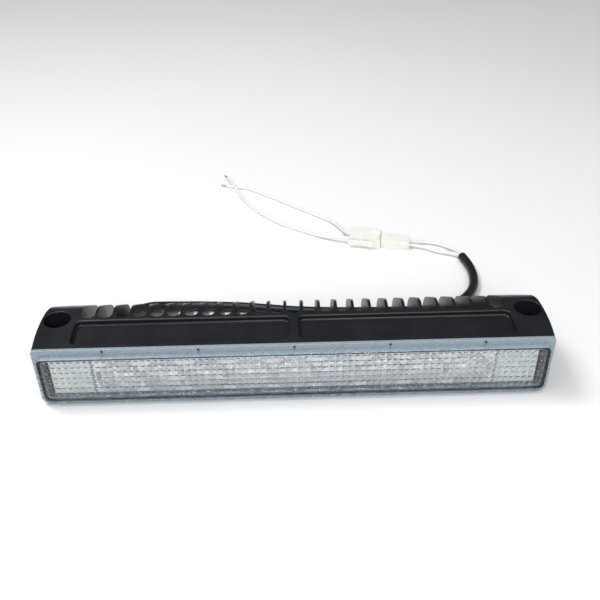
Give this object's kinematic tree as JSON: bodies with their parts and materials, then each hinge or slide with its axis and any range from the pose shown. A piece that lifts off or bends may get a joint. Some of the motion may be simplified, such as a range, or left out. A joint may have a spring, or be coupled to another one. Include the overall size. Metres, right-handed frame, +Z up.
{
  "type": "led light bar",
  "caption": "Short finned LED light bar with a clear prismatic lens, a mounting hole in each end, a black cable and a white plug-in connector.",
  "frame": {"origin": "the middle of the bar's underside, measured without the cable, wires and connector", "axes": "+X along the bar, +Y from the lens to the fins, +Z up through the mounting holes"},
  "size_m": [0.3028, 0.2943, 0.0406],
  "materials": {
    "housing_paint": "semi-gloss black powder coat over cast aluminium",
    "clear_lens": "clear moulded polycarbonate with a fine prism grid",
    "black_rubber": "matt",
    "reflector_metal": "vacuum-metallised plastic",
    "white_plastic": "matt white",
    "board_white": "white solder mask on aluminium",
    "pad_grey": "soft silicone",
    "led_ceramic": "ceramic",
    "led_phosphor": "clear silicone over yellow phosphor",
    "steel": "zinc plated",
    "board_green": "green solder mask",
    "ferrite": "ferrite with a wound shield",
    "can_aluminium": "aluminium can",
    "chip_black": "moulded epoxy",
    "brass_pins": "bright",
    "gland_nylon": "black nylon",
    "cable_black": "smooth PVC with a soft sheen",
    "wire_white": "smooth PVC",
    "tinned": "tinned copper",
    "connector_white": "natural nylon"
  },
  "bodies": {
    "bar": {"housing": "housing_paint", "lens_cover": "clear_lens", "lens_seal": "black_rubber", "reflector": "reflector_metal", "end_panels": "white_plastic", "led_board": "board_white", "thermal_pad": "pad_grey", "led_packages": "led_ceramic", "led_domes": "led_phosphor", "board_screws": "steel", "driver_board": "board_green", "driver_screws": "steel", "driver_inductor": "ferrite", "driver_capacitors": "can_aluminium", "driver_chips": "chip_black", "link_pins": "brass_pins", "gland_body": "gland_nylon", "gland_washer": "black_rubber", "gland_seal": "black_rubber", "gland_nut": "gland_nylon", "cable_tail": "cable_black", "supply_cores": "wire_white", "cable_jacket": "cable_black", "lead_wire_far": "wire_white", "lead_wire_near": "wire_white", "plug_housing": "connector_white", "plug_terminals": "brass_pins"},
    "mating_half": {"socket_housing": "connector_white", "socket_pins": "brass_pins", "tail_wire_near": "wire_white", "tail_wire_far": "wire_white", "wire_tips": "tinned"},
    "latch": {"latch_lever": "connector_white"}
  },
  "joints": [
    {"name": "connector_unplug", "type": "slide", "parent": "bar", "child": "mating_half", "axis": [-0.9781, 0.2079, 0], "range_m": [0, 0.016]},
    {"name": "latch_press", "type": "hinge", "parent": "mating_half", "child": "latch", "pos_m": [0.05426, 0.13281, 0.0046], "axis": [0, 0, 1], "range_deg": [-4, 0], "stiffness_Nm_per_rad": 0.3}
  ]
}
